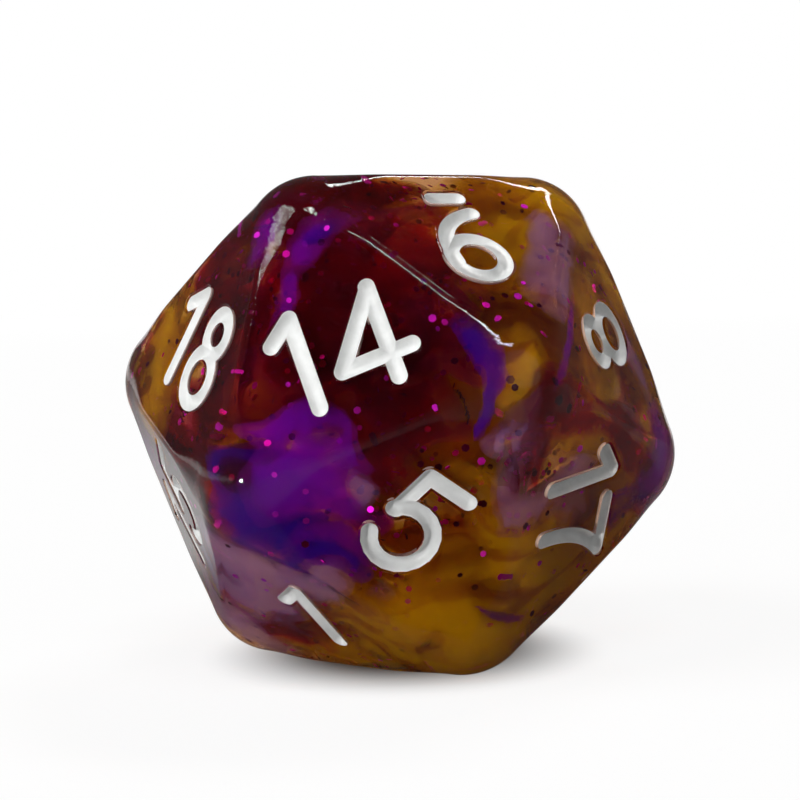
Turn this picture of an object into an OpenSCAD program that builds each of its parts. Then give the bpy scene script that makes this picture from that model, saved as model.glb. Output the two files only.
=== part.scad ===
// Twenty-sided die: a clear resin casting with dye swirls and foil glitter set in it, and a
// numeral engraved in each face and filled with white paint. Opposite faces add up to 21.
// The origin is the centre of the face that it rests on, with +Z up and the 14 facing -Y.

/* [Casting] */
// Distance between two opposite faces
face_to_face = 20; // [18:0.5:30]
// Radius of the tumbled edges
edge_round = 1.3; // [0.8:0.1:1.6]
// Distance that the rounding of a corner moves in along each of its edges
corner_trim = 0.8; // [0.3:0.1:1.2]
// Flats across the rounding of an edge
round_steps = 4; // [3:1:6]

/* [Numerals] */
// Height of a digit
digit_h = 4.4; // [3.6:0.1:4.6]
// Width of an engraved stroke
stroke_w = 0.64; // [0.4:0.02:0.7]
// Depth of the engraving below the face
groove_depth = 0.45; // [0.3:0.05:0.8]
// Distance from the face down to the paint
paint_below = 0.1; // [0.05:0.05:0.2]
// Space between the two digits of a numeral
digit_gap = 0.6; // [0.4:0.1:0.8]
// Length of the bar under the 6 and the 9
bar_len = 1.8; // [1.2:0.1:2.4]
// Space between a 6 or 9 and its bar
bar_gap = 0.3; // [0.2:0.05:0.5]

/* [Swirls] */
// Clear resin between the bottom of the engraving and the dye
dye_cover = 0.3; // [0.2:0.1:1]

/* [Glitter] */
// Foil flakes shaken into the mould, of which those clear of the dye are modelled
flake_tries = 420; // [100:10:600]
// Width of a flake across its corners
flake_w = 0.34; // [0.2:0.02:0.5]
// Thickness of a flake
flake_t = 0.06; // [0.04:0.01:0.1]

/* [Hidden] */
DYES = ["amber_swirl", "violet_swirl", "indigo_swirl"];

resin_colour = "#8a6a7c";
paint_colour = "#f2f2ee";
dye_colours = ["#b06a10", "#6a1a8a", "#3418a0"];
foil_colour = "#e010c8";

// A regular icosahedron that lies on one face
golden = (1 + sqrt(5)) / 2;
inradius = face_to_face / 2;
edge_len = 2 * sqrt(3) * inradius / pow(golden, 2);
cap_r = edge_len / sqrt(3);
belt_r = cap_r * golden;
belt_z = inradius / pow(golden, 3);
function triangle(r, turn, z) = [for (i = [0:2]) [r * cos(turn + 120 * i), r * sin(turn + 120 * i), z]];
// Corners 0 to 2 are the lowest, then come the lower and upper belts, and 9 to 11 are the highest
corners = concat(
    triangle(cap_r, 60, -inradius),
    triangle(belt_r, 0, -belt_z),
    triangle(belt_r, 60, belt_z),
    triangle(cap_r, 0, inradius)
);

// The three corners of each face, from the face with the 1 to the face with the 20.
// The top of the numeral points to the first corner.
faces = [
    [5, 1, 2], [10, 7, 11], [6, 3, 0], [10, 4, 7], [8, 5, 2],
    [6, 9, 3], [4, 6, 0], [8, 9, 3], [8, 9, 11], [11, 9, 10],
    [2, 1, 0], [1, 4, 0], [4, 7, 1], [11, 5, 8], [7, 5, 1],
    [6, 4, 10], [3, 8, 2], [11, 5, 7], [3, 0, 2], [9, 6, 10]
];

function unit(v) = v / norm(v);
function middle(f) = (corners[f[0]] + corners[f[1]] + corners[f[2]]) / 3;
normals = [for (f = faces) unit(middle(f))];
function has(list, item) = len([for (x = list) if (x == item) x]) > 0;
function round_corner(c) = [for (i = [0:19]) if (has(faces[i], c)) normals[i]];
function neighbours(c) = [for (i = [0:11]) let (d = norm(corners[i] - corners[c]))
    if (i != c && d < 1.01 * edge_len) i];

// Directions that the rounding at a corner faces: towards its faces, its edges and itself
function blends(a, b, from) = [for (i = [from:round_steps - 1]) let (t = i / round_steps)
    unit(a * (1 - t) + b * t)];
function edge_sides(sides) = [for (a = sides) for (b = sides) if (a != b && a * b > 0.7) [a, b]];
function rounding(c) = let (sides = round_corner(c), axis = unit(corners[c])) concat(
    [axis],
    [for (s = sides) each blends(s, axis, 0)],
    [for (p = edge_sides(sides)) each blends(p[0], p[1], 1)],
    [for (p = edge_sides(sides)) each blends(unit(p[0] + p[1]), axis, 1)]
);
core = (inradius - edge_round) / inradius;
skin = [for (c = [0:11]) for (n = neighbours(c)) for (d = rounding(c))
    corners[c] * core + unit(corners[n] - corners[c]) * corner_trim + d * edge_round];

// Centre line of each digit as strokes, where the digit is 1 high and centred on its own width
curve_steps = 12;
function arc(x, y, r, from, to) = [for (i = [0:curve_steps]) let (a = from + (to - from) * i / curve_steps)
    [x + r * cos(a), y + r * sin(a)]];
function bend(a, b, c) = [for (i = [0:curve_steps]) let (t = i / curve_steps)
    a * pow(1 - t, 2) + b * 2 * t * (1 - t) + c * pow(t, 2)];
digit_widths = [0.58, 0.26, 0.56, 0.54, 0.74, 0.58, 0.58, 0.6, 0.6, 0.58];
nine_tail = bend([0.26, 0.26], [0.34, -0.36], [-0.22, -0.5]);
strokes = [
    [],
    [[[-0.13, 0.29], [0.13, 0.5], [0.13, -0.5]]],
    [concat(arc(-0.01, 0.23, 0.27, 165, -25), [[-0.28, -0.5], [0.3, -0.5]])],
    [arc(-0.03, 0.27, 0.23, 155, -95), arc(-0.03, -0.21, 0.29, 100, -150)],
    [[[0.14, 0.5], [0.14, -0.5]], [[0.13, 0.46], [-0.37, -0.24], [0.37, -0.24]]],
    [[[0.29, 0.5], [-0.19, 0.5], [-0.25, 0.03]], arc(-0.03, -0.18, 0.32, 140, -155)],
    [-nine_tail],
    [[[-0.3, 0.5], [0.3, 0.5]], bend([0.27, 0.47], [-0.06, 0.1], [-0.06, -0.5])],
    [],
    [nine_tail]
];
// Closed loops of the same digits: x, y and the two radii
loops = [
    [[0, 0, 0.29, 0.5]],
    [], [], [], [], [],
    [[0, -0.21, 0.29, 0.29]],
    [],
    [[0, 0.28, 0.22, 0.22], [0, -0.22, 0.28, 0.28]],
    [[0, 0.21, 0.29, 0.29]]
];

// Outline of a round cutter that follows a path
cap_steps = 8;
sharp_turn = 30;
function heading(a, b) = atan2(b[1] - a[1], b[0] - a[0]);
function turn(a, b, c) = let (d = heading(b, c) - heading(a, b)) d - 360 * floor((d + 180) / 360);
function at(p, r, angle) = [p[0] + r * cos(angle), p[1] + r * sin(angle)];
function outer_bend(p, r, from, to) = let (steps = ceil(abs(to - from) * cap_steps / 180))
    [for (i = [0:steps]) at(p, r, from + (to - from) * i / steps)];
function bend_side(a, b, c, r) = let (h = heading(a, b) + 90, t = turn(a, b, c))
    t < -sharp_turn ? outer_bend(b, r, h, h + t) : [at(b, r / cos(t / 2), h + t / 2)];
function one_side(p, r) = let (n = len(p), h = heading(p[n - 2], p[n - 1])) concat(
    [for (i = [1:n - 2]) if (n > 2) each bend_side(p[i - 1], p[i], p[i + 1], r)],
    outer_bend(p[n - 1], r, h + 90, h - 90)
);
function backwards(p) = [for (i = [len(p) - 1:-1:0]) p[i]];
function cutter_path(p, r) = concat(one_side(p, r), one_side(backwards(p), r));

line_h = digit_h - stroke_w;
loop_steps = 32;
module oval(rx, ry) {
    polygon([for (i = [0:loop_steps - 1]) let (a = 360 * i / loop_steps) [rx * cos(a), ry * sin(a)]]);
}
module loop_ovals(d, grow) {
    for (l = loops[d]) translate([l[0], l[1]] * line_h) oval(l[2] * line_h + grow, l[3] * line_h + grow);
}
module digit(d, thick) {
    difference() {
        union() {
            for (s = strokes[d]) linear_extrude(thick) polygon(cutter_path(s * line_h, stroke_w / 2));
            linear_extrude(thick) loop_ovals(d, stroke_w / 2);
        }
        translate([0, 0, -thick]) linear_extrude(3 * thick) loop_ovals(d, -stroke_w / 2);
    }
}
module numeral_solid(n, thick) {
    tens = floor(n / 10);
    units = n % 10;
    tens_w = digit_widths[tens] * line_h;
    units_w = digit_widths[units] * line_h;
    apart = digit_gap + stroke_w;
    lift = (bar_gap + stroke_w) / 2;
    if (n > 9) {
        translate([-(units_w + apart) / 2, 0, 0]) digit(tens, thick);
        translate([(tens_w + apart) / 2, 0, 0]) digit(units, thick);
    } else if (n == 6 || n == 9) {
        translate([0, lift, 0]) digit(n, thick);
        translate([0, lift - digit_h / 2 - bar_gap - stroke_w / 2, 0])
            linear_extrude(thick) square([bar_len, stroke_w], center = true);
    } else digit(n, thick);
}
// Places a drawing on the face with numeral n, drawn as seen from outside
module on_face(n) {
    f = faces[n - 1];
    z = normals[n - 1];
    y = unit(corners[f[0]] - middle(f));
    x = cross(y, z);
    c = middle(f);
    translate([0, 0, inradius]) multmatrix([
        [x[0], y[0], z[0], c[0]],
        [x[1], y[1], z[1], c[1]],
        [x[2], y[2], z[2], c[2]]
    ]) children();
}

// Dye pours as lens or spindle shapes: centre, axis, half length and half width,
// in parts of the depth that the dye may fill
dye_reach = inradius - groove_depth - dye_cover;
pours = [
    [
        [[0.3, -0.36, -0.6], [1, 0.25, 0.05], 0.36, 0.18],
        [[0.78, 0.1, 0.22], [0.1, 0.2, 1], 0.3, 0.15],
        [[0.42, -0.42, 0.48], [1, 0.5, -0.2], 0.26, 0.17],
        [[-0.1, -0.1, 0.1], [1, 0.2, 0.6], 0.4, 0.24],
        [[-0.96, -0.03, 0.24], [0.3, 0.6, -0.7], 0.17, 0.12],
        [[-0.32, -0.28, -0.76], [1, -0.2, 0.1], 0.2, 0.11],
        [[-0.46, 0.52, 0.2], [0.5, 0.3, 0.8], 0.32, 0.18],
        [[0.2, 0.56, -0.6], [1, -0.3, 0.2], 0.34, 0.17]
    ],
    [
        [[-0.2, -0.66, 0.4], [0.4, -0.3, 0.8], 0.28, 0.15],
        [[-0.44, -0.78, 0.02], [1, -0.3, -0.1], 0.2, 0.11],
        [[0.72, -0.4, 0.02], [-0.2, -0.5, -0.8], 0.32, 0.06],
        [[1.02, -0.02, -0.24], [0.1, 0.6, 0.7], 0.16, 0.09],
        [[0.43, -0.6, -0.7], [1, 0.3, 0], 0.16, 0.04],
        [[-0.26, 0.66, -0.4], [0.3, 0.2, 1], 0.3, 0.13],
        [[0.5, 0.6, 0], [0.7, -0.5, 0.5], 0.3, 0.14]
    ],
    [
        [[-0.34, -0.84, -0.32], [1, 0, -0.25], 0.25, 0.12],
        [[-0.2, -0.58, 0.78], [-0.4, -0.3, -0.8], 0.17, 0.09],
        [[0.44, -0.88, 0.2], [0.2, -0.2, -1], 0.2, 0.06],
        [[-0.6, -0.4, -0.61], [0.6, -0.3, -0.7], 0.14, 0.07],
        [[0.18, 0.56, 0.54], [1, 0.2, 0.2], 0.28, 0.13],
        [[-0.7, 0.4, -0.3], [0.4, 0.4, -0.8], 0.24, 0.12]
    ]
];
// A pour is drawn in round its axis by three lobes that wind along it
pour_rings = 8;
pour_sides = 12;
pour_lobe = 0.25;
function pour_frame(p) = let (
    z = unit(p[1]),
    x = unit(cross(abs(z[2]) < 0.9 ? [0, 0, 1] : [1, 0, 0], z))
) [x, cross(z, x), z];
function pour_point(p, frame, a, b) = let (
    lobe = 1 - pour_lobe * (1 + sin(3 * b + 2 * a)) / 2,
    wide = p[3] * sin(a) * lobe
) (p[0] + (frame[0] * cos(b) + frame[1] * sin(b)) * wide + frame[2] * p[2] * cos(a)) * dye_reach;
function pour_points(p) = let (frame = pour_frame(p)) concat(
    [for (i = [1:pour_rings - 1]) for (k = [0:pour_sides - 1])
        pour_point(p, frame, 180 * i / pour_rings, 360 * k / pour_sides)],
    [pour_point(p, frame, 0, 0), pour_point(p, frame, 180, 0)]
);
function pour_quads() = [for (i = [0:pour_rings - 3]) for (k = [0:pour_sides - 1])
    let (n = (k + 1) % pour_sides, a = i * pour_sides, b = a + pour_sides)
    each [[a + k, a + n, b + n], [a + k, b + n, b + k]]];
function pour_ends() = let (last = (pour_rings - 2) * pour_sides, tip = last + pour_sides)
    [for (k = [0:pour_sides - 1]) let (n = (k + 1) % pour_sides)
        each [[k, tip, n], [last + k, last + n, tip + 1]]];
module pour(p) {
    translate([0, 0, inradius]) polyhedron(pour_points(p), concat(pour_quads(), pour_ends()));
}
module dye(kind) {
    color(dye_colours[kind]) for (p = pours[kind]) pour(p);
}

// Flakes spread evenly by fractions of three irrational steps, kept where they clear the dye
spread = 1.2207440846;
function part_of(x) = x - floor(x);
function scatter(i) = [for (k = [1:3]) 2 * part_of(0.5 + i / pow(spread, k)) - 1];
function in_pour(q, p) = let (
    axis = unit(p[1]),
    from = q - p[0] * dye_reach,
    along = from * axis,
    across = norm(from - along * axis)
) pow(along / (p[2] * dye_reach + flake_w), 2) + pow(across / (p[3] * dye_reach + flake_w), 2) < 1;
function clear_of_dye(q) = len([for (kind = pours) for (p = kind) if (in_pour(q, p)) 1]) == 0;
function deep_enough(q) = max([for (n = normals) q * n]) < dye_reach - flake_w;
flakes = [for (i = [1:flake_tries]) let (q = scatter(i) * belt_r)
    if (deep_enough(q) && clear_of_dye(q)) [q, i]];
module glitter() {
    color(foil_colour) for (f = flakes)
        translate([0, 0, inradius] + f[0])
            rotate([137.5 * f[1], 222.5 * f[1], 0])
                cylinder(h = flake_t, d = flake_w, center = true, $fn = 6);
}

function numeral_node(n) = str("numeral_", n < 10 ? "0" : "", n);
module paint(n) {
    color(paint_colour) on_face(n)
        translate([0, 0, -groove_depth]) numeral_solid(n, groove_depth - paint_below);
}
module engraving(n) {
    on_face(n) translate([0, 0, -groove_depth]) numeral_solid(n, 2 * groove_depth);
}
module resin_body() {
    color(resin_colour) difference() {
        translate([0, 0, inradius]) hull() polyhedron(skin, [[for (i = [0:len(skin) - 1]) i]]);
        for (n = [1:20]) engraving(n);
        for (kind = [0:len(DYES) - 1]) for (p = pours[kind]) pour(p);
        glitter();
    }
}

resin_body();
for (n = [1:20]) paint(n);
for (kind = [0:len(DYES) - 1]) dye(kind);
glitter();  // glitter_flakes
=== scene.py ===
import math

import bpy
import numpy as np
from mathutils import Matrix, Vector
from mathutils.geometry import delaunay_2d_cdt


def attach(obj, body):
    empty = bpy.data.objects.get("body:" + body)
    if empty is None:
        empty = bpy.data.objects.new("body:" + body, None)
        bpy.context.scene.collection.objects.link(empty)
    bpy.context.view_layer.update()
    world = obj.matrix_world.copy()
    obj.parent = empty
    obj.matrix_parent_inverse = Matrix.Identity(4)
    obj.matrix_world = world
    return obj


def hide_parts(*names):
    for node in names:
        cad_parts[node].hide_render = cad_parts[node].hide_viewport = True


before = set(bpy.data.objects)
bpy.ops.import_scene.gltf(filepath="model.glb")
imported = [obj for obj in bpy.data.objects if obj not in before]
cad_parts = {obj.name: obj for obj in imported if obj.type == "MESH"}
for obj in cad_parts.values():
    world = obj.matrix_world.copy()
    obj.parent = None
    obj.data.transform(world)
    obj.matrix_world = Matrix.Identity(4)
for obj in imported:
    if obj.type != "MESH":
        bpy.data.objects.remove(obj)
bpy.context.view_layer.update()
scene = bpy.context.scene

# Sizes in millimetres, the same as the solids have
MM = 0.001
FACE_TO_FACE = 20.0
DIGIT_H = 4.4
STROKE_W = 0.64
GROOVE_DEPTH = 0.45
DIGIT_GAP = 0.6
BAR_LEN = 1.8
BAR_GAP = 0.3
DYE_COVER = 0.3

# Radius of the rounding along the middle of an edge and at a corner, and the share of an edge
# that keeps the first of them
EDGE_ROUND = 0.6
CORNER_ROUND = 2.9
EDGE_EVEN = 0.4
EDGE_STEPS = 28
ROUND_STEPS = 10

# The camera's place in metres and its turn, and the photograph's frame in pixels
CAMERA_AT = (0.005573, -0.069397, 0.015281)
CAMERA_TURN = ((0.9967, 0.0203, 0.0783), (0.0767, 0.0672, -0.9948), (-0.0255, 0.9975, 0.0654))
LENS = 73.58
SENSOR = 36.0
FRAME_PX = 800

# Stand-ins for a distance without end and for none at all
FAR = 1e9
TINY = 1e-9

# A regular icosahedron round the origin that lies on one face
GOLDEN = (1 + math.sqrt(5)) / 2
INRADIUS = FACE_TO_FACE / 2
EDGE_LEN = 2 * math.sqrt(3) * INRADIUS / GOLDEN**2
CAP_R = EDGE_LEN / math.sqrt(3)
BELT_R = CAP_R * GOLDEN
BELT_Z = INRADIUS / GOLDEN**3
CENTRE = np.array([0, 0, INRADIUS])


def triangle(r, turn, z):
    """Three points round the upright axis, at this radius, turn and height."""
    angles = [math.radians(turn + 120 * i) for i in range(3)]
    return [np.array([r * math.cos(a), r * math.sin(a), z]) for a in angles]


CORNERS = (
    triangle(CAP_R, 60, -INRADIUS)
    + triangle(BELT_R, 0, -BELT_Z)
    + triangle(BELT_R, 60, BELT_Z)
    + triangle(CAP_R, 0, INRADIUS)
)
# The corners of the faces with the numerals 1 to 20, whose tops point to the first corner
FACES = [
    (5, 1, 2), (10, 7, 11), (6, 3, 0), (10, 4, 7), (8, 5, 2),
    (6, 9, 3), (4, 6, 0), (8, 9, 3), (8, 9, 11), (11, 9, 10),
    (2, 1, 0), (1, 4, 0), (4, 7, 1), (11, 5, 8), (7, 5, 1),
    (6, 4, 10), (3, 8, 2), (11, 5, 7), (3, 0, 2), (9, 6, 10),
]


def unit(v):
    """The direction of a vector."""
    return v / np.linalg.norm(v)


def slerp(a, b, t):
    """Direction at a share t of the turn from direction a to direction b."""
    angle = math.acos(max(-1, min(1, float(a @ b))))
    return unit(a * math.sin((1 - t) * angle) + b * math.sin(t * angle))


NORMALS = [unit(sum(CORNERS[c] for c in f)) for f in FACES]
AXES = [unit(c) for c in CORNERS]
CORNER_COS = float(AXES[FACES[0][0]] @ NORMALS[0])


def sides(c, n):
    """The two faces that meet on the edge from corner c to corner n, or none."""
    return [i for i, f in enumerate(FACES) if c in f and n in f]


def neighbours(c):
    """The five corners that share an edge with corner c."""
    return [n for n in range(len(CORNERS)) if n != c and sides(c, n)]


# Rounding by balls that touch the faces, roll along the edges and grow towards the corners
def corner_ball(c):
    """Middle of the ball in corner c."""
    return AXES[c] * (INRADIUS - CORNER_ROUND) / CORNER_COS


def edge_balls(c, n):
    """Middles, radii and slopes of the radii of the balls from corner c to corner n."""
    f, g = sides(c, n)
    out = unit(NORMALS[f] + NORMALS[g])
    way = unit(CORNERS[n] - CORNERS[c])
    reach = float(corner_ball(n) @ way)
    along = np.linspace(-1, 1, EDGE_STEPS + 1)
    t = np.clip((np.abs(along) - EDGE_EVEN) / (1 - EDGE_EVEN), 0, 1)
    gain = CORNER_ROUND - EDGE_ROUND
    radius = EDGE_ROUND + gain * t * t * (3 - 2 * t)
    slope = np.sign(along) * gain * 6 * t * (1 - t) / (1 - EDGE_EVEN) / reach
    lift = (INRADIUS - radius) / (out @ NORMALS[f])
    middles = out * lift[:, None] + way * (along * reach)[:, None]
    return middles, radius, slope


# Numerals as centre lines, where a digit is 1 high and centred on its own width
CURVE_STEPS = 16
OVAL_STEPS = 48


def arc(x, y, r, start, stop):
    """Part of a circle round (x, y), from one angle in degrees to another."""
    angles = np.radians(np.linspace(start, stop, CURVE_STEPS + 1))
    return np.stack([x + r * np.cos(angles), y + r * np.sin(angles)], axis=1)


def bend(a, b, c):
    """A curve from a to c that is drawn towards b."""
    t = np.linspace(0, 1, CURVE_STEPS + 1)[:, None]
    return np.array(a) * (1 - t) ** 2 + np.array(b) * 2 * t * (1 - t) + np.array(c) * t**2


def oval(x, y, rx, ry):
    """A closed oval round (x, y)."""
    angles = np.linspace(0, 2 * math.pi, OVAL_STEPS + 1)
    return np.stack([x + rx * np.cos(angles), y + ry * np.sin(angles)], axis=1)


NINE_TAIL = bend((0.26, 0.26), (0.34, -0.36), (-0.22, -0.5))
DIGIT_WIDTHS = [0.58, 0.26, 0.56, 0.54, 0.74, 0.58, 0.58, 0.6, 0.6, 0.58]
STROKES = [
    [oval(0, 0, 0.29, 0.5)],
    [np.array([(-0.13, 0.29), (0.13, 0.5), (0.13, -0.5)])],
    [np.concatenate([arc(-0.01, 0.23, 0.27, 165, -25), [(-0.28, -0.5), (0.3, -0.5)]])],
    [arc(-0.03, 0.27, 0.23, 155, -95), arc(-0.03, -0.21, 0.29, 100, -150)],
    [np.array([(0.14, 0.5), (0.14, -0.5)]), np.array([(0.13, 0.46), (-0.37, -0.24), (0.37, -0.24)])],
    [np.array([(0.29, 0.5), (-0.19, 0.5), (-0.25, 0.03)]), arc(-0.03, -0.18, 0.32, 140, -155)],
    [oval(0, -0.21, 0.29, 0.29), -NINE_TAIL],
    [np.array([(-0.3, 0.5), (0.3, 0.5)]), bend((0.27, 0.47), (-0.06, 0.1), (-0.06, -0.5))],
    [oval(0, 0.28, 0.22, 0.22), oval(0, -0.22, 0.28, 0.28)],
    [oval(0, 0.21, 0.29, 0.29), NINE_TAIL],
]
BARRED = (6, 9)
LINE_H = DIGIT_H - STROKE_W
HALF_W = STROKE_W / 2


def digit_lines(digit, x, y):
    """Centre lines of a digit at its real size, moved to (x, y)."""
    return [s * LINE_H + np.array([x, y]) for s in STROKES[digit]]


def numeral_lines(n):
    """Centre lines of a numeral in millimetres, where +y is its top."""
    tens, ones = divmod(n, 10)
    if tens:
        tens_w, ones_w = (DIGIT_WIDTHS[d] * LINE_H for d in (tens, ones))
        apart = DIGIT_GAP + STROKE_W
        return digit_lines(tens, -(ones_w + apart) / 2, 0) + digit_lines(ones, (tens_w + apart) / 2, 0)
    if ones in BARRED:
        lift = (BAR_GAP + STROKE_W) / 2
        y = lift - DIGIT_H / 2 - BAR_GAP - HALF_W
        half = BAR_LEN / 2 - HALF_W
        return digit_lines(ones, 0, lift) + [np.array([(-half, y), (half, y)])]
    return digit_lines(ones, 0, 0)


# Turns to the right over this many radians get round corners, with so many points to a radian
SHARP_TURN = 0.5
TURN_POINTS = 4
END_STEPS = 10


def heading(angle):
    """Flat direction at an angle in radians."""
    return np.array([math.cos(angle), math.sin(angle)])


def offset_loops(line, r):
    """Closed outlines of a round cutter of radius r that follows a line."""
    if np.allclose(line[0], line[-1]):
        ring = line[:-1]
        way = np.roll(ring, -1, axis=0) - np.roll(ring, 1, axis=0)
        side = np.stack([way[:, 1], -way[:, 0]], axis=1) / np.linalg.norm(way, axis=1)[:, None]
        return [ring + side * r, ring - side * r]
    points = []
    for path in (line, line[::-1]):
        way = np.diff(path, axis=0)
        head = np.arctan2(way[:, 1], way[:, 0])
        for i in range(1, len(path) - 1):
            turn = (head[i] - head[i - 1] + math.pi) % (2 * math.pi) - math.pi
            left = head[i - 1] + math.pi / 2
            if turn < -SHARP_TURN:
                count = max(2, round(-turn * TURN_POINTS))
                points += [path[i] + r * heading(left + t) for t in np.linspace(0, turn, count)]
            else:
                points.append(path[i] + r / math.cos(turn / 2) * heading(left + turn / 2))
        for t in np.linspace(math.pi / 2, -math.pi / 2, END_STEPS + 1):
            points.append(path[-1] + r * heading(head[-1] + t))
    return [np.array(points)]


def nearest(lines, points):
    """Distance from each point to the nearest centre line, and the way from that line to it."""
    best = np.full(len(points), FAR)
    way = np.zeros_like(points)
    for line in lines:
        for a, b in zip(line[:-1], line[1:]):
            along = b - a
            t = np.clip((points - a) @ along / (along @ along), 0, 1)
            rel = points - a - t[:, None] * along
            far = np.linalg.norm(rel, axis=1)
            way = np.where((far < best)[:, None], rel, way)
            best = np.minimum(best, far)
    return best, way / np.maximum(best, TINY)[:, None]


# Profile of a groove: a rounded lip in the resin, then paint that sags to the middle
LIP_W = 0.13
LIP_DROP = 0.06
PAINT_SAG = 0.3
PAINT_BITE = 0.012
PAINT_TUCK = 0.004
WALL_LEAN = 0.03
# Distances from a numeral's lines where its face is cut: in the paint, at the wall and on the lip
RINGS = [share * HALF_W for share in (0.2, 0.4, 0.6, 0.78)]
RINGS += [HALF_W - WALL_LEAN, HALF_W, HALF_W + PAINT_BITE]
RINGS += [HALF_W + share * LIP_W for share in (0.25, 0.5, 0.75, 1)]


def lip_share(d):
    """How far across the lip a distance from the lines is, from 0 outside to 1 at the groove."""
    return np.clip((HALF_W + LIP_W - d) / LIP_W, 0, 1)


def lip_slope(d):
    """How steeply the resin drops at a distance from the lines."""
    return np.where(d >= HALF_W, 2 * LIP_DROP / LIP_W * lip_share(d), 0)


def resin_height(d):
    """Height of the resin over the flat, at a distance from the lines."""
    wall = np.clip((HALF_W - d) / WALL_LEAN, 0, 1)
    groove = -LIP_DROP - (GROOVE_DEPTH - LIP_DROP) * wall
    return np.where(d >= HALF_W, -LIP_DROP * lip_share(d) ** 2, groove)


def paint_height(d):
    """Height of the paint over the flat, at a distance from the lines."""
    dip = np.clip(1 - (d / HALF_W) ** 2, 0, 1)
    return -LIP_DROP - np.where(d > HALF_W, PAINT_TUCK, PAINT_SAG * dip)


def face_frame(i):
    """Axes of a face: right and up of its numeral, and outwards, with its middle."""
    a, b, c = (CORNERS[k] for k in FACES[i])
    middle = (a + b + c) / 3
    up = unit(a - middle)
    return np.cross(up, NORMALS[i]), up, NORMALS[i], middle


def flat_rim(i):
    """Outline of the flat of face i, anticlockwise from outside."""
    a, b, c = FACES[i]
    if np.cross(CORNERS[b] - CORNERS[a], CORNERS[c] - CORNERS[a]) @ NORMALS[i] < 0:
        b, c = c, b
    rim = []
    for p, q in ((a, b), (b, c), (c, a)):
        middles, radius, _ = edge_balls(min(p, q), max(p, q))
        line = middles + NORMALS[i] * radius[:, None]
        rim += list(line if p < q else line[::-1])[:-1]
    return rim


# Points closer than this are joined, and triangles outside the rim are left out
WELD = 1e-4
WELD_DIGITS = 4
INSIDE_ONLY = 1


def groove_plan(i):
    """Flat points and triangles of face i, cut along its numeral.

    With them come the distance and the way from the numeral's lines to each point, and the
    distance to the middle of each triangle.
    """
    right, up, _, middle = face_frame(i)
    lines = numeral_lines(i + 1)
    rim = [((p - middle) @ right, (p - middle) @ up) for p in flat_rim(i)]
    points = [Vector(p) for p in rim]
    links = [(k, (k + 1) % len(rim)) for k in range(len(rim))]
    for r in RINGS:
        for line in lines:
            for loop in offset_loops(line, r):
                first = len(points)
                points += [Vector(p) for p in loop]
                links += [(first + k, first + (k + 1) % len(loop)) for k in range(len(loop))]
    flat, _, tris, *_ = delaunay_2d_cdt(points, links, [], INSIDE_ONLY, WELD)
    flat = np.array([tuple(p) for p in flat])
    tris = np.array([tuple(t) for t in tris])
    a, b, c = (flat[tris[:, k]] for k in range(3))
    area = (b[:, 0] - a[:, 0]) * (c[:, 1] - a[:, 1]) - (b[:, 1] - a[:, 1]) * (c[:, 0] - a[:, 0])
    tris[area < 0] = tris[area < 0][:, ::-1]
    far, ways = nearest(lines, flat)
    return flat, tris, far, ways, nearest(lines, (a + b + c) / 3)[0]


def new_object(name, data):
    """An object in the scene that holds this data."""
    made = bpy.data.objects.new(name, data)
    scene.collection.objects.link(made)
    return made


def new_piece(name, verts, faces, node, material, normals=None):
    """Makes a mesh object from points in millimetres round the die's centre."""
    mesh = bpy.data.meshes.new(name)
    mesh.from_pydata([tuple(v) for v in (np.asarray(verts) + CENTRE) * MM], [], faces)
    mesh.polygons.foreach_set("use_smooth", [True] * len(mesh.polygons))
    if normals is not None:
        mesh.normals_split_custom_set_from_vertices([tuple(n) for n in normals])
    mesh.update()
    piece = new_object(name, mesh)
    mesh.materials.append(material)
    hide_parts(node)
    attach(piece, "root")
    return piece


# Helpers for node trees
NOISE_LOW = 0.3
NOISE_HIGH = 0.7


def new_material(name):
    """A material with an empty node tree, that tree and its output."""
    material = bpy.data.materials.new(name)
    material.use_nodes = True
    tree = material.node_tree
    tree.nodes.clear()
    return material, tree, tree.nodes.new("ShaderNodeOutputMaterial")


def math_node(tree, operation, a, b):
    """The outcome of an operation on two values."""
    node = tree.nodes.new("ShaderNodeMath")
    node.operation = operation
    tree.links.new(a, node.inputs[0])
    tree.links.new(b, node.inputs[1])
    return node.outputs[0]


def ranged(tree, value, start, stop, low, high, curve="SMOOTHSTEP"):
    """Goes from low to high as a value goes from start to stop."""
    node = tree.nodes.new("ShaderNodeMapRange")
    node.interpolation_type = curve
    for name, v in (("From Min", start), ("From Max", stop), ("To Min", low), ("To Max", high)):
        node.inputs[name].default_value = v
    tree.links.new(value, node.inputs["Value"])
    return node.outputs["Result"]


def spread(tree, noise, low, high):
    """Stretches a noise value to the range from low to high."""
    return ranged(tree, noise, NOISE_LOW, NOISE_HIGH, low, high, "LINEAR")


def ramp(tree, value, stops, curve="LINEAR"):
    """Colour that follows a value from stop to stop, each a position and a colour."""
    node = tree.nodes.new("ShaderNodeValToRGB")
    node.color_ramp.interpolation = curve
    elements = node.color_ramp.elements
    for k, (position, colour) in ((0, stops[0]), (1, stops[-1])):
        elements[k].position = position
        elements[k].color = (*colour, 1)
    for position, colour in stops[1:-1]:
        elements.new(position).color = (*colour, 1)
    tree.links.new(value, node.inputs["Fac"])
    return node.outputs["Color"]


def grain(tree, size, detail=2.0):
    """Noise with grains of a size in millimetres."""
    coords = tree.nodes.new("ShaderNodeTexCoord")
    noise = tree.nodes.new("ShaderNodeTexNoise")
    noise.inputs["Scale"].default_value = 1 / (size * MM)
    noise.inputs["Detail"].default_value = detail
    tree.links.new(coords.outputs["Object"], noise.inputs["Vector"])
    return noise.outputs["Fac"]


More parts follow.
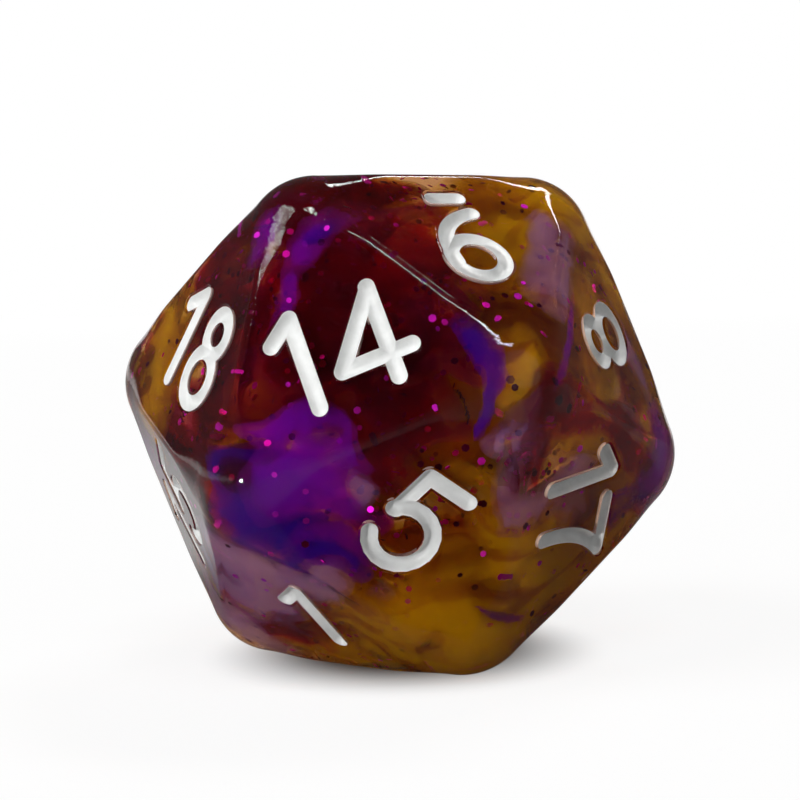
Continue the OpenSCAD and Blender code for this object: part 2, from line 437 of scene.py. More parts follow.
def bump(tree, height, tall, base=None):
    """Bump whose height of 1 stands this many millimetres tall, on a base bump if there is one."""
    node = tree.nodes.new("ShaderNodeBump")
    node.inputs["Distance"].default_value = tall * MM
    tree.links.new(height, node.inputs["Height"])
    if base:
        tree.links.new(base, node.inputs["Normal"])
    return node.outputs[0]


def absorption(tree, taken):
    """Volume that takes these shares of red, green and blue from a ray, per millimetre."""
    volume = tree.nodes.new("ShaderNodeVolumeAbsorption")
    most = max(taken)
    volume.inputs["Color"].default_value = (*(1 - t / most for t in taken), 1)
    volume.inputs["Density"].default_value = most / MM
    return volume.outputs[0]


def scatter(tree, turned):
    """Volume that turns these shares of red, green and blue aside, per millimetre."""
    volume = tree.nodes.new("ShaderNodeVolumeScatter")
    most = max(turned)
    volume.inputs["Color"].default_value = (*(t / most for t in turned), 1)
    volume.inputs["Density"].default_value = most / MM
    return volume.outputs[0]


# Clear resin: polished flats, and rounded edges with more gloss and fine nicks
RESIN_TINT = (0.66, 0.52, 0.5)
RESIN_TAKES = (0.025, 0.065, 0.13)
RESIN_IOR = 1.47
FLAT_GLOSS = 0.2
EDGE_GLOSS = 0.85
NICK_SIZE = 0.16
NICK_TALL = 0.006
POLISH_SIZE = 1.6
POLISH_TALL = 0.003


def resin_material():
    """Tinted glass that lets the lamps shine through it."""
    material, tree, out = new_material("clear_resin")
    shader = tree.nodes.new("ShaderNodeBsdfPrincipled")
    shader.inputs["Base Color"].default_value = (*RESIN_TINT, 1)
    shader.inputs["Roughness"].default_value = 0.0
    shader.inputs["IOR"].default_value = RESIN_IOR
    shader.inputs["Transmission Weight"].default_value = 1.0
    shade = tree.nodes.new("ShaderNodeBsdfTransparent")
    shade.inputs["Color"].default_value = (*(math.sqrt(t) for t in RESIN_TINT), 1)
    path = tree.nodes.new("ShaderNodeLightPath")
    pick = tree.nodes.new("ShaderNodeMixShader")
    tree.links.new(path.outputs["Is Shadow Ray"], pick.inputs[0])
    tree.links.new(shader.outputs[0], pick.inputs[1])
    tree.links.new(shade.outputs[0], pick.inputs[2])
    tree.links.new(pick.outputs[0], out.inputs["Surface"])
    tree.links.new(absorption(tree, RESIN_TAKES), out.inputs["Volume"])
    attribute = tree.nodes.new("ShaderNodeAttribute")
    attribute.attribute_name = "worn"
    worn = attribute.outputs["Fac"]
    gloss = ranged(tree, worn, 0, 1, FLAT_GLOSS, EDGE_GLOSS, "LINEAR")
    tree.links.new(gloss, shader.inputs["Specular Tint"])
    nicks = math_node(tree, "MULTIPLY", worn, grain(tree, NICK_SIZE))
    polish = bump(tree, grain(tree, POLISH_SIZE, detail=0.0), POLISH_TALL)
    tree.links.new(bump(tree, nicks, NICK_TALL, polish), shader.inputs["Normal"])
    return material


def dye_material(name, taken, turned):
    """A cloud without a skin."""
    material, tree, out = new_material(name)
    both = tree.nodes.new("ShaderNodeAddShader")
    tree.links.new(absorption(tree, taken), both.inputs[0])
    tree.links.new(scatter(tree, turned), both.inputs[1])
    tree.links.new(both.outputs[0], out.inputs["Volume"])
    return material


# White paint, a little uneven
PAINT_TONES = [(0, (0.8, 0.81, 0.8)), (1, (0.9, 0.91, 0.9))]
PAINT_ROUGH = (0.35, 0.55)
MOTTLE_SIZE = 0.5
SMEAR_SIZE = 0.3
PIT_SIZE = 0.12
PIT_TALL = 0.01


def paint_material():
    """Satin white with mottled tones and small pits."""
    material, tree, out = new_material("white_paint")
    shader = tree.nodes.new("ShaderNodeBsdfPrincipled")
    mottle = spread(tree, grain(tree, MOTTLE_SIZE), 0, 1)
    tree.links.new(ramp(tree, mottle, PAINT_TONES), shader.inputs["Base Color"])
    tree.links.new(spread(tree, grain(tree, SMEAR_SIZE), *PAINT_ROUGH), shader.inputs["Roughness"])
    tree.links.new(bump(tree, grain(tree, PIT_SIZE), PIT_TALL), shader.inputs["Normal"])
    tree.links.new(shader.outputs[0], out.inputs["Surface"])
    return material


# Foil: the share of flakes at which each tone starts, and the tones. The first tone is painted shade:
# dark flakes that stand in for flakes that are edge-on or in shadow
FOIL_AND_SHADE_TONES = [(0, (0.1, 0.0, 0.03)), (0.35, (0.85, 0.01, 0.75)), (0.75, (0.75, 0.02, 1))]
FOIL_ROUGH = (0.38, 0.5)
CREASE_SIZE = 0.1


def foil_material():
    """Coloured metal in which each flake has one tone, with a share of the flakes painted dark as
    shade.
    """
    material, tree, out = new_material("foil")
    shader = tree.nodes.new("ShaderNodeBsdfPrincipled")
    shader.inputs["Metallic"].default_value = 1.0
    island = tree.nodes.new("ShaderNodeNewGeometry").outputs["Random Per Island"]
    tree.links.new(ramp(tree, island, FOIL_AND_SHADE_TONES, "CONSTANT"), shader.inputs["Base Color"])
    tree.links.new(spread(tree, grain(tree, CREASE_SIZE), *FOIL_ROUGH), shader.inputs["Roughness"])
    tree.links.new(shader.outputs[0], out.inputs["Surface"])
    return material


# The resin: flats with grooves, rounded edges and corners
class Skin:
    """Surface of the casting, in which faces that meet share their points."""

    def __init__(self):
        self.verts, self.normals, self.worn, self.faces, self.known = [], [], [], [], {}

    def point(self, p, n, worn=1.0):
        """Number of the point at p, with its normal and wear if it is a new one."""
        key = tuple(np.round(p, WELD_DIGITS))
        if key not in self.known:
            self.known[key] = len(self.verts)
            self.verts.append(p)
            self.normals.append(n)
            self.worn.append(worn)
        return self.known[key]

    def face(self, corners):
        """Adds a face through (point, normal) corners, turned to face outwards."""
        a, b, c = (corners[k][0] for k in range(3))
        if np.cross(b - a, c - a) @ corners[0][1] < 0:
            corners = corners[::-1]
        index = [self.point(p, n) for p, n in corners]
        index = [k for j, k in enumerate(index) if k != index[j - 1]]
        if len(index) > 2:
            self.faces.append(index)

    def flat(self, i, plan):
        """The flat of face i with its groove."""
        flat, tris, far, ways, _ = plan
        right, up, out, middle = face_frame(i)
        index = []
        for (x, y), z, (u, v), slope in zip(flat, resin_height(far), ways, lip_slope(far)):
            normal = unit(out - (right * u + up * v) * slope)
            index.append(self.point(middle + right * x + up * y + out * z, normal, 0.0))
        self.faces += [[index[k] for k in t] for t in tris]

    def edge(self, c, n):
        """Rounding along the edge between corners c and n."""
        f, g = sides(c, n)
        out = unit(NORMALS[f] + NORMALS[g])
        way = unit(CORNERS[n] - CORNERS[c])
        turns = [slerp(NORMALS[f], NORMALS[g], j / ROUND_STEPS) for j in range(ROUND_STEPS + 1)]
        rows = []
        for p, r, slope in zip(*edge_balls(c, n)):
            tilts = [slope * (1 - (out @ d) / (out @ NORMALS[f])) for d in turns]
            rows.append([(p + d * r, unit(d - way * k)) for d, k in zip(turns, tilts)])
        for low, high in zip(rows[:-1], rows[1:]):
            for j in range(ROUND_STEPS):
                self.face([low[j], low[j + 1], high[j + 1], high[j]])

    def cap(self, c, n):
        """Part of the ball in corner c that lies towards corner n."""
        f, g = sides(c, n)
        rows = []
        for k in range(ROUND_STEPS + 1):
            a = slerp(NORMALS[f], AXES[c], k / ROUND_STEPS)
            b = slerp(NORMALS[g], AXES[c], k / ROUND_STEPS)
            wide = ROUND_STEPS - k
            turns = [slerp(a, b, j / wide) if wide else AXES[c] for j in range(wide + 1)]
            rows.append([(corner_ball(c) + d * CORNER_ROUND, d) for d in turns])
        for low, high in zip(rows[:-1], rows[1:]):
            for j in range(len(high)):
                self.face([low[j], low[j + 1], high[j]])
                if j:
                    self.face([low[j], high[j], high[j - 1]])


def resin_piece(plans):
    """The casting, with wear on all but its flats."""
    skin = Skin()
    for i, plan in enumerate(plans):
        skin.flat(i, plan)
    for c in range(len(CORNERS)):
        for n in neighbours(c):
            if c < n:
                skin.edge(c, n)
            skin.cap(c, n)
    clear = resin_material()
    resin = new_piece("resin", skin.verts, skin.faces, "resin_body", clear, skin.normals)
    resin.data.attributes.new("worn", "FLOAT", "POINT").data.foreach_set("value", skin.worn)


def paint_piece(i, plan, white):
    """Paint in the groove of face i: a sagging top, a floor under it and a wall round both."""
    flat, tris, far, _, middle_far = plan
    right, up, out, middle = face_frame(i)
    tris = tris[middle_far < HALF_W + PAINT_BITE]
    used = sorted(set(tris.ravel()))
    number = {k: j for j, k in enumerate(used)}
    height = paint_height(far)
    base = [middle + right * flat[k][0] + up * flat[k][1] for k in used]
    verts = [p + out * height[k] for p, k in zip(base, used)]
    verts += [p - out * (GROOVE_DEPTH + PAINT_BITE) for p in base]
    n = len(used)
    top = [[number[k] for k in t] for t in tris]
    faces = top + [[k + n for k in t[::-1]] for t in top]
    edges = {(t[k], t[(k + 1) % 3]) for t in top for k in range(3)}
    faces += [[b, a, a + n, b + n] for a, b in edges if (b, a) not in edges]
    new_piece("paint_%02d" % (i + 1), verts, faces, "numeral_%02d" % (i + 1), white)


face_plans = [groove_plan(i) for i in range(len(FACES))]
resin_piece(face_plans)
white_paint = paint_material()
for i, plan in enumerate(face_plans):
    paint_piece(i, plan, white_paint)

# Dye clouds, each as a middle, an axis, a half length and a half width in millimetres
DYE_REACH = INRADIUS - GROOVE_DEPTH - DYE_COVER
FOCAL_PX = LENS / SENSOR * FRAME_PX
VIEW_FROM = np.array(CAMERA_AT) / MM - CENTRE
RIB_SHARE = 0.4


def under(pixel, depth):
    """Point this deep in the resin behind a pixel of the photograph, and the normal of its face."""
    x, y = ((v - FRAME_PX / 2) / FOCAL_PX for v in pixel)
    ray = unit(np.array(CAMERA_TURN) @ np.array([x, -y, -1]))
    facing = np.array(NORMALS) @ ray
    away = np.where(facing < 0, (INRADIUS - np.array(NORMALS) @ VIEW_FROM) / facing, -FAR)
    i = int(away.argmax())
    slow = 1 / RESIN_IOR
    bend_in = slow * -facing[i] - math.sqrt(1 - slow**2 * (1 - facing[i] ** 2))
    return VIEW_FROM + ray * away[i] + (ray * slow + NORMALS[i] * bend_in) * depth, NORMALS[i]


def cloud(pixel, depth, wide, thick):
    """A flat cloud that lies along the face behind a pixel."""
    middle, out = under(pixel, depth)
    return middle, out, thick, wide


def streak(start, stop, depth, wide):
    """A long body from behind one pixel to behind another, with some length to spare."""
    a, b = under(start, depth)[0], under(stop, depth)[0]
    return (a + b) / 2, unit(b - a), np.linalg.norm(b - a) / 2 + wide, wide


def rib(c, n, depth, wide):
    """A long body along the edge from corner c to corner n, this deep under its faces."""
    f, g = sides(c, n)
    out = unit(NORMALS[f] + NORMALS[g])
    middle = out * (INRADIUS - depth) / (out @ NORMALS[f])
    return middle, unit(CORNERS[n] - CORNERS[c]), RIB_SHARE * EDGE_LEN, wide


def body(middle, axis, long, wide):
    """A body that the photograph doesn't show by itself."""
    return np.array(middle), unit(np.array(axis)), long, wide


# Each shade's clouds, under names that say where they lie
POURS = {
    "amber": {
        "heart": body((0.8, -2.8, 1.2), (1, 0.15, 0.25), 5.2, 2.4),
        "crown": streak((430, 250), (530, 270), 3.2, 1.8),
        "crown_front": streak((500, 235), (535, 250), 1.8, 1.1),
        "patch": cloud((515, 375), 1.9, 1.7, 0.6),
        "gold_rim": streak((598, 245), (618, 300), 1.7, 0.9),
        "right": streak((590, 310), (600, 420), 1.9, 1.3),
        "right_low": streak((575, 430), (600, 460), 2.2, 1.1),
        "belly": streak((400, 610), (520, 590), 2.6, 1.9),
        "belly_right": streak((500, 520), (560, 585), 2.2, 1.6),
        "olive_rim": streak((152, 335), (156, 385), 1.9, 1.5),
        "top_corner": body(AXES[9] * 10.2, AXES[9], 1.2, 1.8),
        "low_corner": body(AXES[2] * 10, AXES[2], 1.4, 2.2),
        "sole": streak((370, 648), (480, 652), 1.5, 1.0),
        "side": cloud((600, 520), 2.8, 3, 1),
        "side_low": cloud((530, 610), 1.9, 2.4, 0.8),
        "toe": cloud((330, 645), 2.4, 2.2, 0.8),
        "top_back": body((3.5, 2, 6), (1, 0.6, -0.2), 3.6, 1.8),
        "low_back": body((2, 5.6, -4.6), (1, -0.3, 0.2), 4, 2),
        "left_back": body((-3.8, 5, 3.4), (0.5, 0.3, 0.8), 3.2, 1.8),
        "left_low": body((-4.4, 1.2, -4.6), (0.5, 1, -0.2), 3.2, 1.7),
        "right_back": body((6.4, 4.2, 1), (-0.4, 0.6, 1), 3, 1.6),
    },
    "violet": {
        "brow": cloud((345, 315), 2.1, 4, 1.4),
        "crest": cloud((400, 245), 1.8, 2.6, 0.9),
        "chin": cloud((390, 415), 2.0, 1.9, 0.5),
        "cheek": cloud((246, 466), 1.8, 0.8, 0.5),
        "left": cloud((220, 320), 1.6, 2.4, 0.8),
        "left_brow": cloud((212, 264), 1.9, 1.4, 0.9),
        "left_low": cloud((215, 400), 1.6, 1.8, 0.7),
        "left_top": cloud((300, 225), 1.8, 1.6, 0.7),
        "stripe": rib(8, 3, 1.5, 0.72),
        "band": streak((556, 396), (538, 484), 1.6, 0.5),
        "foot": cloud((300, 630), 2, 2, 0.6),
        "wall": body(NORMALS[14] * 7.6, NORMALS[14], 0.9, 3.4),
        "left_corner": body(AXES[7] * 10, AXES[7], 1.2, 1.8),
        "back": body((-1.6, 7.4, -0.6), (0.3, 0.3, 1), 3.4, 1.3),
        "back_right": body((4.4, 7.2, -1.2), (0.3, -0.2, 1), 2.4, 1),
        "top": body((-3.2, -1, 7.4), (1, 0.4, 0.1), 2.6, 1),
    },
    "indigo": {
        "cloud_top": streak((280, 428), (340, 440), 1.4, 0.8),
        "cloud_heart": cloud((308, 490), 1.7, 1.8, 0.85),
        "cloud_right": cloud((345, 505), 1.5, 1.2, 0.6),
        "cloud_low": streak((300, 548), (345, 545), 1.4, 0.8),
        "peak": streak((300, 255), (345, 218), 1.6, 0.9),
        "peak_left": streak((272, 330), (290, 270), 1.5, 0.6),
        "left_peak": streak((252, 245), (275, 212), 1.2, 0.6),
        "thread": streak((574, 296), (558, 400), 1.3, 0.3),
        "corner_tip": body(AXES[3] * 10.2, AXES[3], 1.2, 1.7),
        "back_left": body((-7.4, 3, 0), (0.4, 0.8, -0.6), 2.6, 1.2),
        "back_top": body((1, 6.6, 4.4), (1, 0.2, 0.3), 2.4, 1),
    },
    "blue": {
        "dart": streak((448, 322), (484, 362), 0.95, 0.6),
        "dart_heart": streak((484, 352), (486, 380), 0.95, 0.6),
        "dart_tail": streak((486, 375), (472, 432), 1.35, 0.36),
        "cloud_left": streak((236, 514), (298, 530), 1.7, 1.0),
        "cloud_toe": streak((287, 552), (340, 566), 1.1, 0.75),
        "cloud_spot": cloud((328, 440), 1.2, 0.8, 0.4),
        "peak": streak((308, 238), (338, 222), 1.2, 0.45),
        "corner": cloud((642, 488), 1.1, 1.4, 0.55),
        "left_tip": body(AXES[5] * 9.2, AXES[5], 1.0, 1.1),
        "corner_rim": streak((650, 485), (598, 548), 1.0, 0.7),
        "foot_line": streak((474, 608), (545, 620), 1.0, 0.26),
    },
    "lilac": {
        "heel": cloud((256, 588), 1.9, 2.6, 1.5),
        "heel_tip": body(AXES[1] * 10, AXES[1], 1.4, 2.2),
        "heel_right": cloud((300, 582), 1.6, 1.6, 0.8),
        "wisp": cloud((380, 594), 1.5, 0.9, 0.45),
        "front": cloud((515, 425), 1.3, 1.7, 0.5),
        "front_low": cloud((535, 490), 1.3, 1.6, 0.45),
        "side": cloud((574, 482), 1.7, 2.0, 0.8),
        "side_top": streak((612, 392), (640, 425), 1.4, 0.7),
        "pale": streak((548, 226), (552, 285), 2.0, 0.9),
        "mist": cloud((352, 486), 1.4, 0.9, 0.6),
        "rim": streak((622, 325), (646, 385), 1.4, 0.8),
    },
}


def surface_net(values, origin, step):
    """Closed quads where the values on a grid pass zero, with the values above zero inside."""
    inside = values > 0
    shape = np.array(values.shape) - 1
    corners = np.array([(i, j, k) for i in (0, 1) for j in (0, 1) for k in (0, 1)])
    views = [inside[tuple(slice(o, o + n) for o, n in zip(c, shape))] for c in corners]
    used = np.logical_or.reduce(views) & ~np.logical_and.reduce(views)
    cells = np.argwhere(used)
    at = np.stack([values[tuple((cells + c).T)] for c in corners], axis=1)
    total = np.zeros((len(cells), 3))
    count = np.zeros(len(cells))
    for i, a in enumerate(corners):
        for j, b in enumerate(corners):
            if np.sum(b - a) == 1 and np.all(b >= a):
                cross = (at[:, i] > 0) != (at[:, j] > 0)
                t = np.where(cross, at[:, i] / np.where(cross, at[:, i] - at[:, j], 1), 0)
                total += (a + t[:, None] * (b - a)) * cross[:, None]
                count += cross
    number = np.full(shape, -1)
    number[used] = np.arange(len(cells))
    verts = origin + step * (cells + total / count[:, None])
    faces = []
    for axis in range(3):
        u, v = (axis + 1) % 3, (axis + 2) % 3
        low = [slice(0, None)] * 3
        low[axis] = slice(0, -1)
        high = [slice(0, None)] * 3
        high[axis] = slice(1, None)
        a, b = inside[tuple(low)], inside[tuple(high)]
        for flip, hit in ((False, a & ~b), (True, ~a & b)):
            places = np.argwhere(hit)
            aside = places[:, [u, v]]
            places = places[np.all((aside > 0) & (aside < shape[[u, v]]), axis=1)]
            quad = []
            for du, dv in ((-1, -1), (0, -1), (0, 0), (-1, 0)):
                cell = places.copy()
                cell[:, u] += du
                cell[:, v] += dv
                quad.append(number[tuple(cell.T)])
            quad = np.stack(quad, axis=1)
            faces.append(quad[:, ::-1] if flip else quad)
    return verts, np.concatenate(faces).tolist()


# Grid of points on which the dye is worked out
GRID_STEP = 0.2
GRID_N = 118
axis_line = (np.arange(GRID_N) - (GRID_N - 1) / 2) * GRID_STEP
grid = np.stack(np.meshgrid(axis_line, axis_line, axis_line, indexing="ij"), axis=-1).reshape(-1, 3)
reaches = grid @ np.array(NORMALS).T
within = reaches.max(axis=1) < DYE_REACH + 2 * GRID_STEP
inner = grid[within]

# Distance from the centre towards the nearest faces, rounded where two faces meet
ROUND_K = 2.5
past = np.exp(ROUND_K * (reaches[within] - DYE_REACH)).sum(axis=1)
face_depth = np.log(past) / ROUND_K + DYE_REACH

# Waves that bend the dye: how many, their shortest and longest length, and how far they push it
WAVE_COUNT = 30
WAVE_TURN = 6.3
SWELL_LENGTHS = (3.0, 8.0)
SWELL_SEED = 3
SWELL_PUSH = 0.5
RIPPLE_LENGTHS = (0.9, 2.4)
RIPPLE_SEED = 4
RIPPLE_PUSH = 0.16


def waves(points, low, high, seed):
    """Smooth noise in three directions, as a sum of seeded sine waves."""
    rng = np.random.default_rng(seed)
    total = np.zeros_like(points)
    for _ in range(WAVE_COUNT):
        way = unit(rng.normal(size=3)) * 2 * math.pi / rng.uniform(low, high)
        push = rng.normal(size=3)
        total += np.sin(points @ way + rng.uniform(0, WAVE_TURN))[:, None] * push
    return total / math.sqrt(WAVE_COUNT)


swell = waves(inner, *SWELL_LENGTHS, SWELL_SEED)
ripple = SWELL_PUSH * swell + RIPPLE_PUSH * waves(inner, *RIPPLE_LENGTHS, RIPPLE_SEED)

# Layers through all the dye, and finer folds in its dense cores
MARBLE = 0.22
MARBLE_STEP = 1.9
MARBLE_WAY = (0.3, -0.4, 1.0)
FOLD_STEP = 1.3
FOLD_TWIST = 2.2
FOLD_WAY = (0.5, 0.7, -0.5)


def layers(points, way, step):
    """Goes from -1 to 1 and back once every step along a direction."""
    return np.sin(points @ unit(np.array(way)) * 2 * math.pi / step)


marble = layers(inner + ripple, MARBLE_WAY, MARBLE_STEP)
fold = layers(inner + FOLD_TWIST * ripple, FOLD_WAY, FOLD_STEP)

# Clouds narrower than this fall off faster, and far from any cloud there is no dye
THIN_W = 0.9
NO_DYE = -9.0


def pour_field(pours):
    """How deep each grid point lies in a shade's clouds: above 0 inside them, less outside."""
    best = np.full(len(inner), NO_DYE)
    for middle, way, long, wide in pours.values():
        rel = inner + ripple * min(1, wide) - middle
        along = rel @ way
        across = np.linalg.norm(rel - along[:, None] * way, axis=1)
        part = 1 - np.sqrt((along / long) ** 2 + (across / wide) ** 2)
        best = np.maximum(best, part * max(1, THIN_W / wide))
    return best + MARBLE * marble


fields = {name: pour_field(pours) for name, pours in POURS.items()}

# What each shade takes from a ray and turns aside, as red, green and blue per millimetre
DYES = {
    "amber": {
        "halo": ((0.03, 0.11, 1.0), (0.34, 0.23, 0.006)),
        "core": ((0.03, 0.17, 3.0), (1.3, 0.98, 0.02)),
    },
    "violet": {
        "halo": ((0.25, 1.0, 0.45), (0.06, 0.008, 0.04)),
        "core": ((0.55, 4.5, 2.8), (0.07, 0.001, 0.008)),
    },
    "indigo": {
        "halo": ((0.2, 1.0, 0.04), (0.28, 0.02, 0.55)),
        "core": ((0.6, 2.8, 0.08), (0.42, 0.015, 2.0)),
    },
    "blue": {
        "halo": ((0.7, 1.8, 0.14), (0.14, 0.015, 0.7)),
        "core": ((1.5, 3.2, 0.28), (0.14, 0.015, 1.8)),
    },
    "lilac": {
        "halo": ((0.04, 0.1, 0.02), (0.18, 0.13, 0.4)),
        "core": ((0.06, 0.1, 0.02), (0.58, 0.48, 2.0)),
    },
}
# The swirl that each shade belongs to
SWIRLS = {"amber": "amber", "violet": "violet", "indigo": "indigo", "blue": "indigo", "lilac": "violet"}
# Where the thin halo and the dense core of a shade start in its field, how strongly folds crease
# them, how far they run into other shades, and how far they stay inside the dye's reach
SHELLS = {
    "halo": {"level": -0.25, "crease": 0.0, "blend": 0.2, "inset": 0.0},
    "core": {"level": 0.15, "crease": 0.2, "blend": -0.03, "inset": 0.12},
}
OUTSIDE = -1.0
REACH_SLOPE = 0.2


def lead(name):
    """How far a shade's field stands above the fields of the others."""
    return fields[name] - np.max([f for k, f in fields.items() if k != name], axis=0)


def dye_piece(piece_name, swirl, value, inset, material):
    """A piece where the value is above zero, that stays this far inside the dye's reach."""
    filled = np.full(len(grid), OUTSIDE)
    filled[within] = np.minimum(value, (DYE_REACH - inset - face_depth) * REACH_SLOPE)
    filled = filled.reshape(GRID_N, GRID_N, GRID_N)
    verts, faces = surface_net(filled, np.full(3, axis_line[0]), GRID_STEP)
    new_piece(piece_name, verts, faces, swirl + "_swirl", material)


def shade_piece(name, shell):
    """The halo or the core of a shade."""
    form = SHELLS[shell]
    creased = fields[name] - form["level"] + form["crease"] * fold
    value = np.minimum(creased, lead(name) + form["blend"])
    material = dye_material(name + "_dye_" + shell, *DYES[name][shell])
    dye_piece(name + "_" + shell, SWIRLS[name], value, form["inset"], material)


# Thin dark sheets folded into the amber, inside its clouds and clear of the other shades
VEIL_STEP = 1.9
VEIL_T = 0.46
VEIL_WAY = (0.2, -0.5, 0.9)
VEIL_LEVEL = -0.2
VEIL_BLEND = -0.06
VEIL_INSET = 0.2
VEIL_TAKES = (0.6, 1.2, 0.8)
VEIL_TURNS = (0.1, 0.02, 0.04)


def veil_piece():
    """Sheets of one thickness, one step apart."""
    sheet = (inner + swell) @ unit(np.array(VEIL_WAY)) / VEIL_STEP
    value = VEIL_T / 2 - np.abs(sheet - np.round(sheet)) * VEIL_STEP
    value = np.minimum(np.minimum(value, fields["amber"] - VEIL_LEVEL), lead("amber") + VEIL_BLEND)
    material = dye_material("amber_dye_veil", VEIL_TAKES, VEIL_TURNS)
    dye_piece("amber_veil", "amber", value, VEIL_INSET, material)


for shade in DYES:
    for shell in SHELLS:
        shade_piece(shade, shell)
veil_piece()

# Glitter: plates with six sides, at least a third of them in a layer under the faces
FLAKE_W = 0.34
FLAKE_LEAST = 0.6
FLAKE_T = 0.03
FLAKE_SIDES = 6
FLAKE_COUNT = 1200
FLAKE_TOP = INRADIUS - GROOVE_DEPTH - FLAKE_W
FLAKE_LAYER = 1.4
FLAKE_TILT = 0.3
FLAKE_SEED = 11
LAYER_EVERY = 3


def glitter_piece():
    """All the flakes, each as a closed plate."""
    rng = np.random.default_rng(FLAKE_SEED)
    verts, faces = [], []
    made = 0
    while made < FLAKE_COUNT:
        middle = rng.uniform(-BELT_R, BELT_R, 3)
        reach = np.array(NORMALS) @ middle
        depth = FLAKE_TOP - reach.max()
        if depth < 0 or (depth > FLAKE_LAYER and made % LAYER_EVERY == 0):
            continue
        wide = FLAKE_W * rng.uniform(FLAKE_LEAST, 1)
        z = rng.normal(size=3)
        z = unit(NORMALS[reach.argmax()] + FLAKE_TILT * z if depth < FLAKE_LAYER else z)
        x = unit(np.cross(z, rng.normal(size=3)))
        y = np.cross(z, x)
        low = len(verts)
        high = low + FLAKE_SIDES
        for side in (-0.5, 0.5):
            for k in range(FLAKE_SIDES):
                a = math.radians(360 / FLAKE_SIDES * k)
                rim = (x * math.cos(a) + y * math.sin(a)) * wide / 2
                verts.append(middle + rim + z * side * FLAKE_T)
        faces.append(list(range(high - 1, low - 1, -1)))
        faces.append(list(range(high, high + FLAKE_SIDES)))
        for k in range(FLAKE_SIDES):
            j = (k + 1) % FLAKE_SIDES
            faces.append([low + k, low + j, high + j, high + k])
        made += 1
    flakes = new_piece("glitter", verts, faces, "glitter_flakes", foil_material())
    flakes.data.polygons.foreach_set("use_smooth", [False] * len(flakes.data.polygons))


glitter_piece()

# Floor, in metres: matte, and lit from within for the camera and in reflections
FLOOR_SIZE = 3.0
FLOOR_DROP = 0.00002
FLOOR_GREY = 0.2
FLOOR_SIGNS = ((-1, -1), (1, -1), (1, 1), (-1, 1))
# Each glow goes, as one measure of a place on the floor goes from the first number to the second,
# from the third number to the fourth. The measures are the distance from the middle of the die's
# underside, and how far to the right and to the back of it the place lies, as shares of that
GLOW_LEVEL = ("away", 0.1, 1.5, 0.85, 0.9)
# For the camera, the glow is taken away close to the die: a painted contact shadow
CAMERA_GLOW_AND_CONTACT_SHADE = ("away", 0.003, 0.009, 0, 1)
# In reflections and through the resin, the glow is taken away under the die as a painted shadow, and
# dimmed far off, to the right, to the left and in front as a painted darker reflection
GLOW_FADES = {
    "painted_shadow_under_die": ("away", 0.014, 0.026, 0, 1),
    "far_off": ("away", 0.035, 0.08, 1, 0.5),
    "right": ("right", 0.35, 0.6, 1, 0.1),
    "left": ("right", -0.3, -0.5, 1, 0.62),
    "front": ("back", -0.3, 0.2, 0.1, 1),
}


def floor_material():
    """Grey under the lamps, with a white glow that leaves the die's shadow, is taken away near the die
    as a painted shadow, and is dimmed on some sides in reflections.
    """
    material, tree, out = new_material("floor_white")
    matte = tree.nodes.new("ShaderNodeBsdfDiffuse")
    matte.inputs["Color"].default_value = (FLOOR_GREY, FLOOR_GREY, FLOOR_GREY, 1)
    place = tree.nodes.new("ShaderNodeNewGeometry").outputs["Position"]
    length = tree.nodes.new("ShaderNodeVectorMath")
    length.operation = "LENGTH"
    tree.links.new(place, length.inputs[0])
    split = tree.nodes.new("ShaderNodeSeparateXYZ")
    tree.links.new(place, split.inputs[0])
    away = length.outputs["Value"]
    measures = {
        "away": away,
        "right": math_node(tree, "DIVIDE", split.outputs["X"], away),
        "back": math_node(tree, "DIVIDE", split.outputs["Y"], away),
    }

    def fade(measure, *span):
        """A glow that follows one of the measures."""
        return ranged(tree, measures[measure], *span)

    ray = tree.nodes.new("ShaderNodeLightPath").outputs
    direct = math_node(tree, "MULTIPLY", ray["Is Camera Ray"], fade(*CAMERA_GLOW_AND_CONTACT_SHADE))
    bounced = math_node(tree, "MAXIMUM", ray["Is Glossy Ray"], ray["Is Transmission Ray"])
    for glow_fade in GLOW_FADES.values():
        bounced = math_node(tree, "MULTIPLY", bounced, fade(*glow_fade))
    seen = math_node(tree, "MAXIMUM", direct, bounced)
    glow = tree.nodes.new("ShaderNodeEmission")
    tree.links.new(math_node(tree, "MULTIPLY", seen, fade(*GLOW_LEVEL)), glow.inputs["Strength"])
    both = tree.nodes.new("ShaderNodeAddShader")
    tree.links.new(matte.outputs[0], both.inputs[0])
    tree.links.new(glow.outputs[0], both.inputs[1])
    tree.links.new(both.outputs[0], out.inputs["Surface"])
    return material


half_floor = FLOOR_SIZE / 2
floor_rim = [(x * half_floor, y * half_floor, -FLOOR_DROP) for x, y in FLOOR_SIGNS]
floor_mesh = bpy.data.meshes.new("floor")
floor_mesh.from_pydata(floor_rim, [], [(0, 1, 2, 3)])
floor_mesh.materials.append(floor_material())
floor = new_object("floor", floor_mesh)

# World: white at the horizon and higher up behind the die, dim overhead, to the right and in front
SKY_TONES = [(0.185, (1, 1, 1)), (0.235, (0.12, 0.12, 0.12)), (1.0, (0.06, 0.06, 0.06))]
# The white is lowered, as a direction's part along an axis goes from the first number to the
# second, by the third number to the fourth
SKY_BEHIND = ("Y", 0.75, 0.9, 0.12, 0.0)
SKY_RIGHT = ("X", 0.35, 0.6, 0, 0.3)
SKY_FRONT = ("Y", -0.6, -0.85, 0, 0.3)


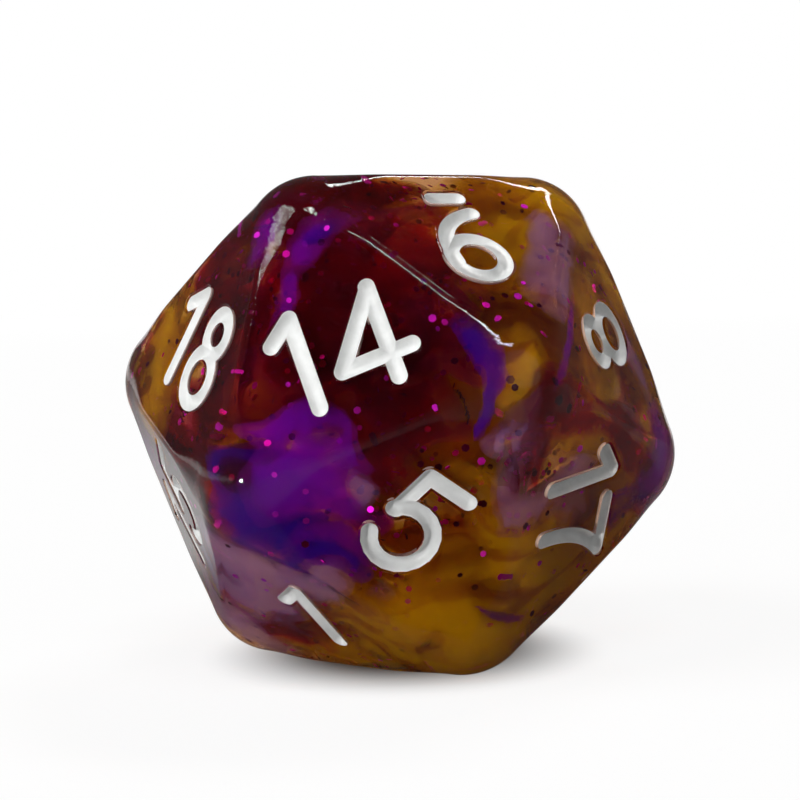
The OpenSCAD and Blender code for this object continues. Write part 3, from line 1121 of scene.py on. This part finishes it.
def studio_world():
    """A sky whose tone follows the height over the horizon."""
    world = bpy.data.worlds.new("studio")
    world.use_nodes = True
    tree = world.node_tree
    tree.nodes.clear()
    coords = tree.nodes.new("ShaderNodeTexCoord")
    split = tree.nodes.new("ShaderNodeSeparateXYZ")
    tree.links.new(coords.outputs["Generated"], split.inputs[0])
    behind, right, front = (
        ranged(tree, split.outputs[axis], *span) for axis, *span in (SKY_BEHIND, SKY_RIGHT, SKY_FRONT)
    )
    rise = math_node(tree, "ADD", split.outputs["Z"], behind)
    dim = math_node(tree, "MAXIMUM", right, front)
    sky = tree.nodes.new("ShaderNodeBackground")
    tree.links.new(ramp(tree, math_node(tree, "ADD", rise, dim), SKY_TONES), sky.inputs["Color"])
    out = tree.nodes.new("ShaderNodeOutputWorld")
    tree.links.new(sky.outputs[0], out.inputs["Surface"])
    return world


scene.world = studio_world()

# Lamps, with their sizes in degrees as the die sees them and their distance in metres
LAMP_FAR = 2.5
WINDOW_ROWS = 5
WINDOW_LOW = 38
WINDOW_STEP = 4.5


def toward(azimuth, elevation):
    """Direction from the die, at an azimuth from the front to the right."""
    a, e = math.radians(azimuth), math.radians(elevation)
    return Vector((math.sin(a) * math.cos(e), -math.cos(a) * math.cos(e), math.sin(e)))


def lamp(name, azimuth, elevation, wide, high, light):
    """A soft box of so many degrees that faces the die."""
    way = toward(azimuth, elevation)
    data = bpy.data.lights.new(name, "AREA")
    data.shape = "RECTANGLE"
    data.size, data.size_y = (2 * LAMP_FAR * math.tan(math.radians(v) / 2) for v in (wide, high))
    data.energy = light * math.pi * LAMP_FAR**2
    lit = new_object(name, data)
    lit.location = Vector((0, 0, INRADIUS * MM)) + way * LAMP_FAR
    lit.rotation_euler = way.to_track_quat("Z", "Y").to_euler()


def sun(name, azimuth, elevation, wide, light):
    """A far round lamp of so many degrees."""
    data = bpy.data.lights.new(name, "SUN")
    data.energy = light
    data.angle = math.radians(wide)
    lit = new_object(name, data)
    lit.rotation_euler = toward(azimuth, elevation).to_track_quat("Z", "Y").to_euler()


sun("soft_key", azimuth=-63, elevation=48, wide=25, light=0.25)
sun("front_key", azimuth=-34, elevation=2, wide=5, light=1.68)
sun("right_fill", azimuth=42, elevation=24, wide=60, light=0.31)
for row in range(WINDOW_ROWS):
    row_height = WINDOW_LOW + WINDOW_STEP * row
    lamp("window_%d" % row, azimuth=-64, elevation=row_height, wide=28, high=1, light=0.14)
lamp("top_lamp", azimuth=15, elevation=66, wide=30, high=2, light=0.7)
lamp("back_lamp", azimuth=150, elevation=56, wide=22, high=5, light=0.6)

# Camera and colour, with enough bounces for light to find its way through the dye
CLIP_START = 0.001
DYE_BOUNCES = 8
camera = bpy.data.cameras.new("camera")
camera.lens = LENS
camera.sensor_width = SENSOR
camera.clip_start = CLIP_START
eye = new_object("camera", camera)
eye.matrix_world = Matrix.Translation(CAMERA_AT) @ Matrix(CAMERA_TURN).to_4x4()
scene.camera = eye
scene.view_settings.view_transform = "Standard"
scene.cycles.volume_bounces = DYE_BOUNCES
